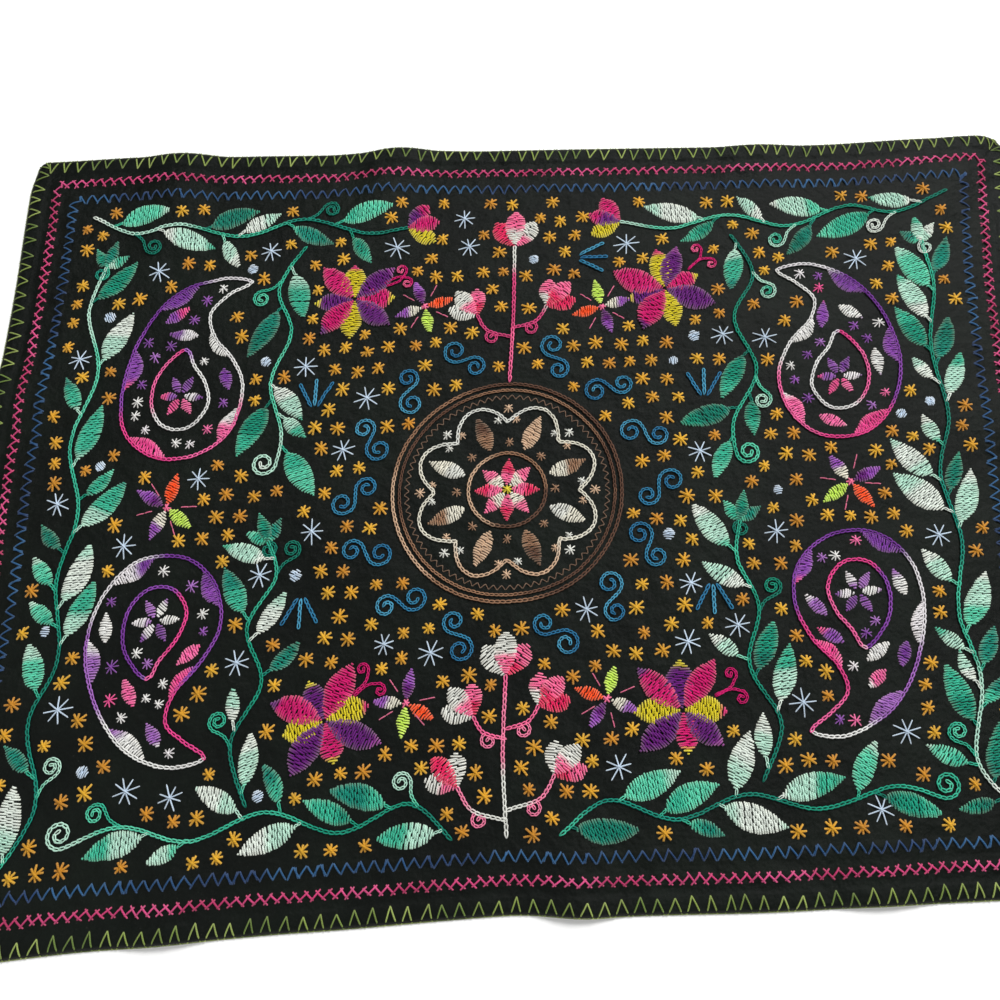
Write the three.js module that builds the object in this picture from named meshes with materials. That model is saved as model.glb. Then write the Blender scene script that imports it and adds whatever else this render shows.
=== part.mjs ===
// An embroidered blanket, laid out flat: one piece of black cotton whose raw edge is turned under into a
// narrow hem all round. Millimetres, +Z up, and the underside rests on Z = 0.
import * as THREE from "three";

// Driving dimensions: the flat cut, before it is laid down.
const CUT_WIDTH = 1100;
const CUT_LENGTH = 820;
const CLOTH_THICKNESS = 2.0;

// The rim is rolled over, and the hem under it is three layers of cloth instead of one.
const ROLL = 2.0;
const RIM_THICKNESS = 1.4;
const HEM_THICKNESS = 3.2;
const HEM_FLAT_END = 15;
const HEM_WIDTH = 18;

// Rows of border stitching draw the cloth up into a low rib, this far in from the edge.
const BORDER_RIBS = [
  { name: "herringbone", centre: 30, halfWidth: 6, height: 1.0 },
  { name: "zigzag", centre: 51, halfWidth: 6, height: 0.8 },
];

// Spacing of the sheet's sections away from the border.
const SECTION_SPACING = 28;

// Where the four corners of the cut come to lie: the cloth is a little out of square, as it was smoothed by hand.
const CORNERS = {
  topLeft: { x: -520, y: 405, radius: 9 },
  topRight: { x: 575, y: 403, radius: 32 },
  bottomLeft: { x: -556, y: -437, radius: 14 },
  bottomRight: { x: 541, y: -393, radius: 16 },
};

// How far each side bows outwards from the straight line between its corners, at a share of its length.
// The top and bottom run from left to right, and the left and right run from bottom to top.
const SIDE_BOWS = {
  top: [
    { share: 0, out: 0 },
    { share: 0.12, out: 4 },
    { share: 0.22, out: 1 },
    { share: 0.3, out: 0 },
    { share: 0.37, out: 4 },
    { share: 0.47, out: 0 },
    { share: 0.8, out: -3 },
    { share: 0.93, out: 2 },
    { share: 1, out: 0 },
  ],
  bottom: [
    { share: 0, out: 0 },
    { share: 0.17, out: -8 },
    { share: 0.33, out: -12 },
    { share: 0.5, out: -15 },
    { share: 0.58, out: -8 },
    { share: 0.75, out: -3 },
    { share: 1, out: 0 },
  ],
  left: [
    { share: 0, out: 0 },
    { share: 0.3, out: 4 },
    { share: 0.4, out: 2 },
    { share: 0.55, out: 6 },
    { share: 0.8, out: 3 },
    { share: 0.95, out: 5 },
    { share: 1, out: 0 },
  ],
  right: [
    { share: 0, out: 0 },
    { share: 0.2, out: -5 },
    { share: 0.43, out: -10 },
    { share: 0.75, out: -9 },
    { share: 0.93, out: -3 },
    { share: 1, out: 0 },
  ],
};

// Where the cloth stands off what it lies on: soft waves that run in from the edges, and two slack places in
// the field. The place is on the flat cut, from its middle, and heading is the crest's, from the cut's width.
const WAVES = [
  { x: -385, y: 395, heading: 88, halfLength: 150, halfWidth: 52, height: 7 },
  { x: -140, y: 400, heading: 78, halfLength: 135, halfWidth: 46, height: 6 },
  { x: 270, y: 405, heading: 97, halfLength: 110, halfWidth: 52, height: 4 },
  { x: 500, y: 375, heading: 50, halfLength: 130, halfWidth: 50, height: 6 },
  { x: -540, y: 130, heading: 4, halfLength: 135, halfWidth: 48, height: 5 },
  { x: -535, y: -190, heading: -8, halfLength: 150, halfWidth: 50, height: 6 },
  { x: -310, y: -400, heading: 84, halfLength: 125, halfWidth: 50, height: 5 },
  { x: 65, y: -405, heading: 95, halfLength: 115, halfWidth: 46, height: 6 },
  { x: 345, y: -400, heading: 88, halfLength: 125, halfWidth: 52, height: 5 },
  { x: 545, y: 60, heading: 3, halfLength: 125, halfWidth: 50, height: 5 },
  { x: 540, y: -235, heading: 12, halfLength: 140, halfWidth: 50, height: 5 },
  { x: -150, y: -75, heading: 128, halfLength: 170, halfWidth: 60, height: 3 },
  { x: 230, y: -150, heading: 60, halfLength: 150, halfWidth: 60, height: 3 },
];

const ease = (t) => t * t * (3 - 2 * t);

// A side's outward bow at a share of its length, eased from row to row.
function bowAt(rows, share) {
  const after = rows.findIndex((row) => row.share >= share);
  if (after <= 0) return rows[0].out;
  const low = rows[after - 1];
  const high = rows[after];
  const part = (share - low.share) / (high.share - low.share);
  return low.out + (high.out - low.out) * ease(part);
}

// One side of the laid cloth as a function of the share of its length.
function side(from, to, rows, outward) {
  return (share) => {
    const out = bowAt(rows, share);
    return new THREE.Vector2(from.x, from.y)
      .lerp(new THREE.Vector2(to.x, to.y), share)
      .addScaledVector(outward, out);
  };
}

const SIDES = {
  top: side(CORNERS.topLeft, CORNERS.topRight, SIDE_BOWS.top, new THREE.Vector2(0, 1)),
  bottom: side(CORNERS.bottomLeft, CORNERS.bottomRight, SIDE_BOWS.bottom, new THREE.Vector2(0, -1)),
  left: side(CORNERS.bottomLeft, CORNERS.topLeft, SIDE_BOWS.left, new THREE.Vector2(-1, 0)),
  right: side(CORNERS.bottomRight, CORNERS.topRight, SIDE_BOWS.right, new THREE.Vector2(1, 0)),
};

// The laid place of a point of the flat cut, blended between the four sides.
function laidPlace(x, y) {
  const u = x / CUT_WIDTH + 0.5;
  const v = y / CUT_LENGTH + 0.5;
  const between = new THREE.Vector2()
    .addScaledVector(SIDES.bottom(u), 1 - v)
    .addScaledVector(SIDES.top(u), v)
    .addScaledVector(SIDES.left(v), 1 - u)
    .addScaledVector(SIDES.right(v), u);
  return between
    .addScaledVector(CORNERS.bottomLeft, -(1 - u) * (1 - v))
    .addScaledVector(CORNERS.bottomRight, -u * (1 - v))
    .addScaledVector(CORNERS.topLeft, -(1 - u) * v)
    .addScaledVector(CORNERS.topRight, -u * v);
}

// Draws a point of the cut's square corner in to the corner's arc.
function roundedCorner(x, y) {
  const vertical = y > 0 ? "top" : "bottom";
  const horizontal = x > 0 ? "Right" : "Left";
  const { radius } = CORNERS[vertical + horizontal];
  const acrossX = Math.abs(x) - (CUT_WIDTH / 2 - radius);
  const acrossY = Math.abs(y) - (CUT_LENGTH / 2 - radius);
  if (acrossX <= 0 || acrossY <= 0) return { x, y };
  const drawnIn = Math.max(acrossX, acrossY) / Math.hypot(acrossX, acrossY);
  return {
    x: x - Math.sign(x) * acrossX * (1 - drawnIn),
    y: y - Math.sign(y) * acrossY * (1 - drawnIn),
  };
}

// How high the waves lift the underside at a point of the cut.
function lift(x, y) {
  let height = 0;
  for (const wave of WAVES) {
    const heading = THREE.MathUtils.degToRad(wave.heading);
    const dx = x - wave.x;
    const dy = y - wave.y;
    const along = (dx * Math.cos(heading) + dy * Math.sin(heading)) / wave.halfLength;
    const across = (dy * Math.cos(heading) - dx * Math.sin(heading)) / wave.halfWidth;
    if (Math.abs(along) < 1 && Math.abs(across) < 1) {
      height += wave.height * (1 - along ** 2) ** 2 * (1 - across ** 2) ** 2;
    }
  }
  return height;
}

// The cloth's thickness at a distance in from its edge: the rolled rim, the hem, and the stitched ribs.
function thickness(inFromEdge) {
  if (inFromEdge < ROLL) {
    return THREE.MathUtils.lerp(RIM_THICKNESS, HEM_THICKNESS, inFromEdge / ROLL);
  }
  if (inFromEdge < HEM_WIDTH) {
    const step = Math.max(0, inFromEdge - HEM_FLAT_END) / (HEM_WIDTH - HEM_FLAT_END);
    return THREE.MathUtils.lerp(HEM_THICKNESS, CLOTH_THICKNESS, step);
  }
  let thick = CLOTH_THICKNESS;
  for (const rib of BORDER_RIBS) {
    thick += rib.height * Math.max(0, 1 - Math.abs(inFromEdge - rib.centre) / rib.halfWidth);
  }
  return thick;
}

// Distances in from an edge at which the sheet has a section: the roll, the hem and each rib's feet and crest.
const BORDER_SECTIONS = [
  0,
  ROLL,
  HEM_FLAT_END,
  HEM_WIDTH,
  ...BORDER_RIBS.flatMap((rib) => [rib.centre - rib.halfWidth, rib.centre, rib.centre + rib.halfWidth]),
];

// The sections across one dimension of the cut, measured from its middle.
function sections(span) {
  const border = BORDER_SECTIONS.map((distance) => distance - span / 2);
  const inner = border.at(-1);
  const count = Math.round((-2 * inner) / SECTION_SPACING);
  const field = Array.from({ length: count - 1 }, (_, i) => inner + ((i + 1) * -2 * inner) / count);
  return [...border, ...field, ...border.map((place) => -place).reverse()];
}

// The sheet starts as a box with one face row for each section, and each of its points is moved to its place.
function clothGeometry() {
  const acrossWidth = sections(CUT_WIDTH);
  const acrossLength = sections(CUT_LENGTH);
  const columns = acrossWidth.length - 1;
  const rows = acrossLength.length - 1;
  const geometry = new THREE.BoxGeometry(1, 1, 1, columns, rows, 1);
  const points = geometry.getAttribute("position");
  for (let i = 0; i < points.count; i++) {
    const x = acrossWidth[Math.round((points.getX(i) + 0.5) * columns)];
    const y = acrossLength[Math.round((points.getY(i) + 0.5) * rows)];
    const inFromEdge = Math.min(CUT_WIDTH / 2 - Math.abs(x), CUT_LENGTH / 2 - Math.abs(y));
    const onCut = roundedCorner(x, y);
    const place = laidPlace(onCut.x, onCut.y);
    const top = points.getZ(i) > 0 ? thickness(inFromEdge) : 0;
    points.setXYZ(i, place.x, place.y, lift(x, y) + top);
  }
  geometry.computeBoundingBox();
  const middle = geometry.boundingBox.getCenter(new THREE.Vector3());
  geometry.translate(-middle.x, -middle.y, 0);
  geometry.computeVertexNormals();
  return geometry;
}

function blackCotton() {
  return new THREE.MeshStandardMaterial({ color: 0x191c1d, roughness: 0.95, metalness: 0 });
}

const blanket = new THREE.Group();
const cloth = new THREE.Mesh(clothGeometry(), blackCotton());
cloth.name = "blanket_cloth";
blanket.add(cloth);

export default blanket;
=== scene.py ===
"""An embroidered blanket laid out flat: black cotton with a turned hem, bordered by rows of stitching
and covered with leafy vines, paisleys, flowers, scrolls and stars in dyed cotton yarn."""

import math
from functools import cache
from itertools import product

import bpy
import numpy as np
from mathutils import Euler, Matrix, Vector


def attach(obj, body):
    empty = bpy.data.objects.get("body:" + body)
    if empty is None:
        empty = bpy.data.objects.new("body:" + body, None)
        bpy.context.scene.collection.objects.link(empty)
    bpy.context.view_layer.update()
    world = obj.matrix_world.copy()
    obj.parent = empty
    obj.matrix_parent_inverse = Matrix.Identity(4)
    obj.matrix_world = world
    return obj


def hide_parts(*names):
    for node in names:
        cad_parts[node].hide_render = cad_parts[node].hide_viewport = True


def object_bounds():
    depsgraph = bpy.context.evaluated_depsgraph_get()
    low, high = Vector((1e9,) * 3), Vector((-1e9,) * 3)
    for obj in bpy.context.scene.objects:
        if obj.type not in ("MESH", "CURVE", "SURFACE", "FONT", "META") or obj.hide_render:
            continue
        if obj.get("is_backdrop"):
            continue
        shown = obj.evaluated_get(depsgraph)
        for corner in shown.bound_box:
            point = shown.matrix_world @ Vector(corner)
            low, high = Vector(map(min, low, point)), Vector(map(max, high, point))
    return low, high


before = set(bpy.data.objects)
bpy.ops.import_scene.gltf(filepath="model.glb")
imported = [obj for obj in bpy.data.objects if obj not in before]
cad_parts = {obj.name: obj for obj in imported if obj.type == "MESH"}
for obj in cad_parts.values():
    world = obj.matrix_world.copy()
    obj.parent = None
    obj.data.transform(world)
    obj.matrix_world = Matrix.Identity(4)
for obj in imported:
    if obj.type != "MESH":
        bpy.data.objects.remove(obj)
cad_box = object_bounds()

MM = 0.001
HAND = np.random.default_rng(20)

# The cloth, in millimetres: the flat cut, and how it lies.
CUT_WIDTH, CUT_LENGTH = 1100, 820
HALF_CUT = np.array([CUT_WIDTH, CUT_LENGTH]) / 2
CLOTH_THICKNESS = 2.0
ROLL, RIM_THICKNESS = 2.0, 1.4
HEM_THICKNESS, HEM_FLAT_END, HEM_WIDTH = 3.2, 15, 18
# How far in from the edge the two border rows run, and how high each draws the cloth up.
PINK_ROW_IN, BLUE_ROW_IN = 30.0, 51.0
ROW_RIBS = [(PINK_ROW_IN, 1.0), (BLUE_ROW_IN, 0.8)]
RIB_HALF_WIDTH = 9
# The creases come to full strength over this far in from the rim, and the motifs keep this far off the edge.
SETTLING = 12
FIELD_MARGIN = 59
CORNERS = {
    "top left": np.array([-520, 405]),
    "top right": np.array([575, 403]),
    "bottom left": np.array([-556, -437]),
    "bottom right": np.array([541, -393]),
}
CORNER_RADII = {"top left": 9, "top right": 32, "bottom left": 14, "bottom right": 16}
SIDES = {
    "top": ("top left", "top right", (0, 1)),
    "bottom": ("bottom left", "bottom right", (0, -1)),
    "left": ("bottom left", "top left", (-1, 0)),
    "right": ("bottom right", "top right", (1, 0)),
}
# Each side's outward bow, as (share of its length, bow).
SIDE_BOWS = {
    "top": [(0, 0), (0.12, 4), (0.22, 1), (0.3, 0), (0.37, 4), (0.47, 0), (0.8, -3), (0.93, 2), (1, 0)],
    "bottom": [(0, 0), (0.17, -8), (0.33, -12), (0.5, -15), (0.58, -8), (0.75, -3), (1, 0)],
    "left": [(0, 0), (0.3, 4), (0.4, 2), (0.55, 6), (0.8, 3), (0.95, 5), (1, 0)],
    "right": [(0, 0), (0.2, -5), (0.43, -10), (0.75, -9), (0.93, -3), (1, 0)],
}
# Waves that stand off the floor: x, y, heading of the crest, half length, half width, height.
WAVES = [
    (-385, 395, 88, 150, 52, 7),
    (-140, 400, 78, 135, 46, 6),
    (270, 405, 97, 110, 52, 4),
    (500, 375, 50, 130, 50, 6),
    (-540, 130, 4, 135, 48, 5),
    (-535, -190, -8, 150, 50, 6),
    (-310, -400, 84, 125, 50, 5),
    (65, -405, 95, 115, 46, 6),
    (345, -400, 88, 125, 52, 5),
    (545, 60, 3, 125, 50, 5),
    (540, -235, 12, 140, 50, 5),
    (-150, -75, 128, 170, 60, 3),
    (230, -150, 60, 150, 60, 3),
]
# Folds pressed into the cloth while it was stored, soft ridges and troughs in the same columns.
CREASES = [
    (4, 60, 91, 330, 7, 0.7),
    (-3, -260, 88, 140, 6, 0.5),
    (-270, 20, 94, 200, 6, -0.4),
    (300, -30, 86, 240, 7, 0.4),
    (40, 12, 2, 380, 6, 0.4),
    (-120, 250, 20, 90, 9, -0.4),
    (190, -255, -25, 100, 9, 0.4),
    (430, 160, 60, 90, 8, -0.4),
]


def eased(table, share):
    """The bow at a share of a side's length, eased from row to row."""
    shares, bows = np.array(table, float).T
    after = np.clip(np.searchsorted(shares, share), 1, len(shares) - 1)
    part = np.clip((share - shares[after - 1]) / (shares[after] - shares[after - 1]), 0, 1)
    return bows[after - 1] + (bows[after] - bows[after - 1]) * part**2 * (3 - 2 * part)


def side(name, share):
    """Where one side of the laid cloth runs, at shares of its length."""
    start, end, outward = SIDES[name]
    start, end = CORNERS[start], CORNERS[end]
    return start + (end - start) * share + eased(SIDE_BOWS[name], share) * np.array(outward)


def rounded(flat):
    """Draws points at the cut's square corners in to the corners' arcs."""
    flat = flat.copy()
    for name, radius in CORNER_RADII.items():
        away = np.array([1 if "right" in name else -1, 1 if "top" in name else -1])
        beyond = flat * away - (HALF_CUT - radius)
        there = (beyond > 0).all(axis=1)
        reach = beyond[there]
        drawn_in = reach.max(axis=1) / np.hypot(*reach.T)
        flat[there] -= away * reach * (1 - drawn_in)[:, None]
    return flat


def blended(flat):
    """Where points of the flat cut come to lie, before the whole is centred."""
    u, v = (rounded(np.asarray(flat, float)) / (CUT_WIDTH, CUT_LENGTH) + 0.5).T[:, :, None]
    between = side("bottom", u) * (1 - v) + side("top", u) * v
    between += side("left", v) * (1 - u) + side("right", v) * u
    low = CORNERS["bottom left"] * (1 - u) + CORNERS["bottom right"] * u
    high = CORNERS["top left"] * (1 - u) + CORNERS["top right"] * u
    return between - low * (1 - v) - high * v


def rim_points():
    """Points all round the edge of the cut."""
    along = np.linspace(-1, 1, 1200)
    ends = np.ones_like(along)
    sides = ((along, ends), (along, -ends), (ends, along), (-ends, along))
    return np.concatenate([np.stack(pair, axis=1) * HALF_CUT for pair in sides])


RIM = blended(rim_points())
MIDDLE = (RIM.min(axis=0) + RIM.max(axis=0)) / 2


def laid(flat):
    """Where points of the flat cut come to lie."""
    return blended(flat) - MIDDLE


def bearings(flat, heading):
    """How far points lie along a heading, and across it."""
    c, s = math.cos(heading), math.sin(heading)
    return flat[:, 0] * c + flat[:, 1] * s, flat[:, 1] * c - flat[:, 0] * s


def humps(flat, rows):
    """The height of a table of soft ridges at points of the cut."""
    height = np.zeros(len(flat))
    for x, y, heading, half_length, half_width, rise in rows:
        along, across = bearings(flat - (x, y), math.radians(heading))
        along = np.clip(np.abs(along / half_length), 0, 1)
        across = np.clip(np.abs(across / half_width), 0, 1)
        height += rise * (1 - along**2) ** 2 * (1 - across**2) ** 2
    return height


def in_from_edge(flat):
    """How far in from the edge points of the cut lie."""
    return (HALF_CUT - np.abs(flat)).min(axis=1)


def thickness(inward):
    """The cloth's thickness at a distance in from its edge: the rolled rim, the hem and the ribs."""
    rim_profile = [RIM_THICKNESS, HEM_THICKNESS * 0.85, HEM_THICKNESS]
    rim = np.interp(inward, [0, ROLL * 0.4, ROLL * 1.5], rim_profile)
    hem = np.interp(inward, [HEM_FLAT_END, HEM_WIDTH], [HEM_THICKNESS, CLOTH_THICKNESS])
    thick = np.where(inward < HEM_FLAT_END, rim, hem)
    for centre, height in ROW_RIBS:
        off = np.clip(np.abs(inward - centre) / RIB_HALF_WIDTH, 0, 1)
        thick = thick + height * (1 - off**2) ** 2
    return thick


# The stitches pull the cloth into slight puckers: short waves, each (length, heading, phase).
PUCKER_HEIGHT = 0.16
PUCKER_LENGTHS = (31, 37, 44, 53, 67, 90, 24)
PUCKERS = [(length, HAND.uniform(0, math.pi), HAND.uniform(0, 6.28)) for length in PUCKER_LENGTHS]


def puckers(flat):
    """The height of the puckers at points of the cut."""
    wave = np.zeros(len(flat))
    for length, heading, phase in PUCKERS:
        along, across = bearings(flat, heading)
        wave += np.sin(along * 2 * math.pi / length + phase + np.sin(across / length * 2.2 + phase * 2))
    return wave * PUCKER_HEIGHT


def back_height(flat):
    """The height of the cloth's underside."""
    return humps(flat, WAVES)


def face_height(flat):
    """The height of the cloth's face, with creases and puckers that die away at the rim."""
    inward = in_from_edge(flat)
    settled = np.clip((inward - ROLL) / SETTLING, 0, 1)
    return back_height(flat) + thickness(inward) + (humps(flat, CREASES) + puckers(flat)) * settled


# Colours, as the eye's 0 to 255.
ORANGES = [(199, 139, 2), (207, 148, 6), (191, 125, 0), (212, 158, 16)]
TEALS = [
    *((10, 122, 102), (18, 146, 118), (54, 179, 146), (92, 203, 168), (184, 224, 204)),
    *((222, 230, 220), (180, 222, 202), (60, 181, 148), (16, 136, 116)),
]
EDGE_GREENS = [(126, 146, 66), (108, 130, 56), (140, 158, 80), (94, 118, 50)]
PINK_ROW = [(192, 46, 106), (206, 68, 126), (176, 34, 94), (198, 54, 114)]
BLUE_ROW = [(16, 68, 112), (12, 54, 98), (30, 84, 128)]
SCROLL_BLUES = [(52, 132, 168), (40, 114, 156), (74, 154, 186), (46, 124, 164)]
BAND_DYES = [
    *((118, 54, 150), (138, 70, 168), (230, 68, 142), (238, 104, 162)),
    *((224, 223, 220), (230, 230, 226), (160, 102, 184), (226, 222, 224)),
]
MAGENTA = (206, 18, 108)
CRIMSON = (225, 32, 92)
DEEP_ROSE = (215, 70, 125)
ROSE = (242, 105, 152)
LIGHT_ROSE = (240, 130, 165)
PLUM = (100, 22, 116)
VIOLET = (150, 54, 150)
LILAC = (150, 75, 180)
YELLOW = (214, 197, 34)
LIME = (200, 235, 92)
FLAME = (250, 82, 28)
WHITE = (220, 221, 213)
PALE_BLUE = (190, 210, 230)
ICE_BLUE = (205, 220, 235)
CREAM = (226, 222, 205)
BEIGE = (204, 170, 140)
TAN = (150, 112, 85)
BROWN = (98, 68, 52)


def linear(colour):
    """A colour's amounts of light, from the eye's 0 to 255."""
    share = np.asarray(colour, float) / 255
    return np.where(share <= 0.04045, share / 12.92, ((share + 0.055) / 1.055) ** 2.4)


def opaque(colour):
    """A colour as a colour socket takes it."""
    return (*linear(colour), 1)


# The share of a run before the yarn turns to its next dye.
STEADY_SHARE = 0.72


def dyed(dyes, place):
    """The colour of space-dyed yarn at a place along it, counted in runs of one dye."""
    run = int(math.floor(place))
    turn = min(max((place - run - STEADY_SHARE) / (1 - STEADY_SHARE), 0), 1)
    turn = turn * turn * (3 - 2 * turn)
    here, there = linear(dyes[run % len(dyes)]), linear(dyes[(run + 1) % len(dyes)])
    return here + (there - here) * turn


def picked(dyes):
    """One of a few dyes, at random."""
    return dyes[int(HAND.integers(len(dyes)))]


# Lines drawn on the cut, each an array of points in millimetres.
def toward(heading, length):
    """The step of a length at a heading."""
    return length * np.array([math.cos(heading), math.sin(heading)])


def polar(place, heading, length):
    """The place a length away at a heading."""
    return np.asarray(place, float) + toward(heading, length)


def heading_of(step):
    return math.atan2(step[1], step[0])


def wobble(amount):
    """A small slip of the hand."""
    return HAND.normal(0, amount, 2)


def spaced(points, gap):
    """Points at an even gap along a line, and the heading at each."""
    points = np.asarray(points, float)
    steps = np.hypot(*np.diff(points, axis=0).T)
    length = np.concatenate([[0], np.cumsum(steps)])
    count = max(int(round(length[-1] / gap)), 1)
    at = np.linspace(0, length[-1], count + 1)
    out = np.stack([np.interp(at, length, column) for column in points.T], axis=1)
    ahead = np.diff(out, axis=0)
    heading = np.arctan2(ahead[:, 1], ahead[:, 0])
    return out, np.append(heading, heading[-1])


def smooth(knots, closed=False):
    """A smooth line through a few knots, as points 1 mm apart."""
    knots = np.asarray(knots, float)
    before, after = (knots[-1:], knots[:2]) if closed else (knots[:1], knots[-1:])
    padded = np.vstack([before, knots, after])
    t = np.linspace(0, 1, 12, endpoint=False)[:, None]
    line = []
    for a, b, c, d in zip(padded, padded[1:], padded[2:], padded[3:]):
        bend = (2 * a - 5 * b + 4 * c - d) * t**2 + (3 * b - a - 3 * c + d) * t**3
        line.extend(0.5 * (2 * b + (c - a) * t + bend))
    line.append(knots[0] if closed else knots[-1])
    return spaced(line, 1.0)[0]


def curl(start, heading, hand, radius, turns, end_share=0.28):
    """A spiral that leaves a place at a heading and winds inwards, to the left where hand is 1."""
    line = [np.array(start, float)]
    wound, total = 0.0, turns * 2 * math.pi
    while wound < total:
        wound += 1.0 / (radius * (1 - (1 - end_share) * wound / total))
        line.append(polar(line[-1], heading + hand * wound, 1.0))
    return np.array(line)


def with_curl(line, *winding):
    """A line with a curl at its end."""
    return np.vstack([line, curl(line[-1], *winding)[1:]])


def turned(points, angle, scale, place, flip):
    """Turns, sizes and moves a line drawn about the origin."""
    sized = np.asarray(points, float) * scale * (-1 if flip else 1, 1)
    c, s = math.cos(angle), math.sin(angle)
    return sized @ np.array([[c, s], [-s, c]]) + np.array(place)


def inside(points, outline):
    """Which points lie inside a closed outline."""
    x, y = np.atleast_2d(points).T[:, :, None]
    x0, y0 = outline.T[:, None, :]
    x1, y1 = np.roll(outline, -1, axis=0).T[:, None, :]
    crosses = (y0 > y) != (y1 > y)
    rise = np.where(y1 == y0, 1.0, y1 - y0)
    return ((crosses & (x < (x1 - x0) * (y - y0) / rise + x0)).sum(axis=1) % 2).astype(bool)


def inside_any(place, outlines):
    return any(inside(place, outline)[0] for outline in outlines)


def half_width(lean, fullness):
    """The half width of a leaf or petal along its length, as a share of its widest."""
    return lambda share: np.sin(math.pi * share**lean) ** fullness


def round_half(share):
    return np.sqrt(np.maximum(1 - (2 * share - 1) ** 2, 0))


leaf_half, petal_half, oval_half = half_width(0.82, 0.85), half_width(1.35, 0.62), half_width(1.06, 0.86)


def blade(base, tip, width, bend, half):
    """The two sides of a leaf or petal, and its middle, bowed sideways by bend."""
    base, tip = np.asarray(base, float), np.asarray(tip, float)
    away = tip - base
    across = np.array([-away[1], away[0]]) / np.hypot(*away)
    share = np.linspace(0.0, 1.0, 40)
    axis = base + away * share[:, None] + across * (4 * bend * share * (1 - share))[:, None]
    reach = across * (half(share) * width / 2)[:, None]
    return axis + reach, axis - reach, axis


def blade_room(base, tip, width, bend):
    """Places down the middle of a leaf, and the radius that it needs there."""
    axis = blade(base, tip, width, bend, leaf_half)[2]
    return axis[[14, 22, 30, 38]], width / 2 + 1.5


class Ground:
    """What is already stitched, as places with a radius, so that the rest is fitted around it."""

    def __init__(self):
        self.places = np.zeros((0, 3))

    def take(self, points, radius):
        points = np.atleast_2d(points)
        rows = np.column_stack([points, np.full(len(points), radius)])
        self.places = np.vstack([self.places, rows])

    def free(self, points, radius):
        points = np.atleast_2d(points)
        if (in_from_edge(points) < FIELD_MARGIN + radius).any():
            return False
        x, y, taken = self.places.T
        away = np.hypot(points[:, :1] - x, points[:, 1:] - y)
        return not (away < taken + radius).any()


GROUND = Ground()


class Sewing:
    """The stitches of one piece: each a bar or a loop of yarn with a place, a turn and a colour."""

    def __init__(self, name, form="bar"):
        self.name, self.form = name, form
        self.rows = []

    def add(self, place, heading, size, colour, lift=0.0, rise=0.0, tip=0.0, ends=(1, 1)):
        self.rows.append((*place, rise, heading, tip, *size, lift, *colour, *ends))

    def bar(self, start, end, width, colour, lift=0.0, rise=0.0, ends=(1, 1)):
        """A straight stitch from one place to another."""
        away = end - start
        size = (float(np.hypot(*away)), width, width * 0.8)
        shade = colour * HAND.uniform(0.84, 1.1)
        self.add((start + end) / 2, heading_of(away), size, shade, lift, rise, ends=ends)


EDGE = Sewing("edge_stitches")
PINK = Sewing("pink_herringbone_row")
BLUE = Sewing("blue_zigzag_row")
STARS = Sewing("orange_stars")
SMALL_STARS = Sewing("small_stars")
PALE = Sewing("pale_blue_stars_and_dots")
LEAVES = Sewing("leaf_fills")
BAND_FILLS = Sewing("paisley_fills")
BLOOMS = Sewing("bloom_fills")
ROSETTE_FILLS = Sewing("rosette_fills")
VINES = Sewing("vine_chains", "loop")
BANDS = Sewing("paisley_chains", "loop")
SCROLLS = Sewing("scroll_chains", "loop")
ROSETTE = Sewing("rosette_chains", "loop")


def chain(sewing, line, dyes, start, run, gap=5.5, width=1.0, room=None):
    """A row of chain stitches, with a run of line to each dye. room is (every so many points, radius)."""
    points, headings = spaced(line, gap)
    step = float(np.hypot(*(points[1] - points[0])))
    for i, heading in enumerate(headings[:-1]):
        middle = (points[i] + points[i + 1]) / 2 + wobble(0.12)
        colour = dyed(dyes, start + i * step / run) * HAND.uniform(0.9, 1.08)
        size = (step * 1.34, width * HAND.uniform(0.92, 1.08), 1.0)
        sewing.add(middle, heading + HAND.normal(0, 0.05), size, colour)
    if room:
        GROUND.take(line[:: room[0]], room[1])


def at_share(line, share):
    """The place at a share of a line."""
    shares = np.linspace(0, 1, len(line))
    return np.array([np.interp(share, shares, column) for column in line.T])


def couched(sewing, a, b, colour, yarn, hold, shift, rise):
    """One thread laid from a to b and held down about every hold, each length of it a little aslant."""
    wide = float(np.hypot(*(b - a)))
    many = max(int(round(wide / hold)), 1)
    slant, overlap = (0.17, 0.5) if many > 1 else (0.0, 0.0)
    cuts = [0.0, *((k + shift) / many for k in range(1, many)), 1.0]
    lean = heading_of(b - a) + slant
    for low, high in zip(cuts, cuts[1:]):
        middle = a + (b - a) * (low + high) / 2
        reach = toward(lean + HAND.normal(0, 0.02), wide * (high - low) * 0.5 + overlap)
        thick = yarn * HAND.uniform(0.92, 1.06)
        ends = (float(low == 0.0), float(high == 1.0))
        sewing.bar(middle - reach, middle + reach, thick, colour, 0.25 + 0.35 * HAND.random(), rise, ends)


def satin(sewing, left, right, dyes, start, runs, gap=2.45, slant=0.3, yarn=2.0, hold=6.8, rise=0.0):
    """Fills the shape between two matched lines with couched threads, a gap apart, dyed in runs."""
    length = float(np.hypot(*np.diff((left + right) / 2, axis=0).T).sum())
    count = max(int(round(length / gap)), 3)
    for i in range(count):
        t = (i + 0.5 + HAND.normal(0, 0.06)) / count
        half = float(np.hypot(*(at_share(left, t) - at_share(right, t)))) / 2
        shift = slant * half / length
        a = at_share(left, t + shift) + wobble(0.22)
        b = at_share(right, t - shift) + wobble(0.22)
        if np.hypot(*(b - a)) >= 1.8:
            stagger = ((0.37 * i) % 1 - 0.5) * 0.7
            couched(sewing, a, b, dyed(dyes, start + runs * t), yarn, hold, stagger, rise)


def leaf(sewing, base, tip, width, dyes, start, runs, bend=0.0, half=leaf_half, **ways):
    """Fills a leaf or petal from its base to its tip, and gives the line down its middle."""
    left, right, axis = blade(base, tip, width, bend, half)
    satin(sewing, left, right, dyes, start, runs, **ways)
    return axis


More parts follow.
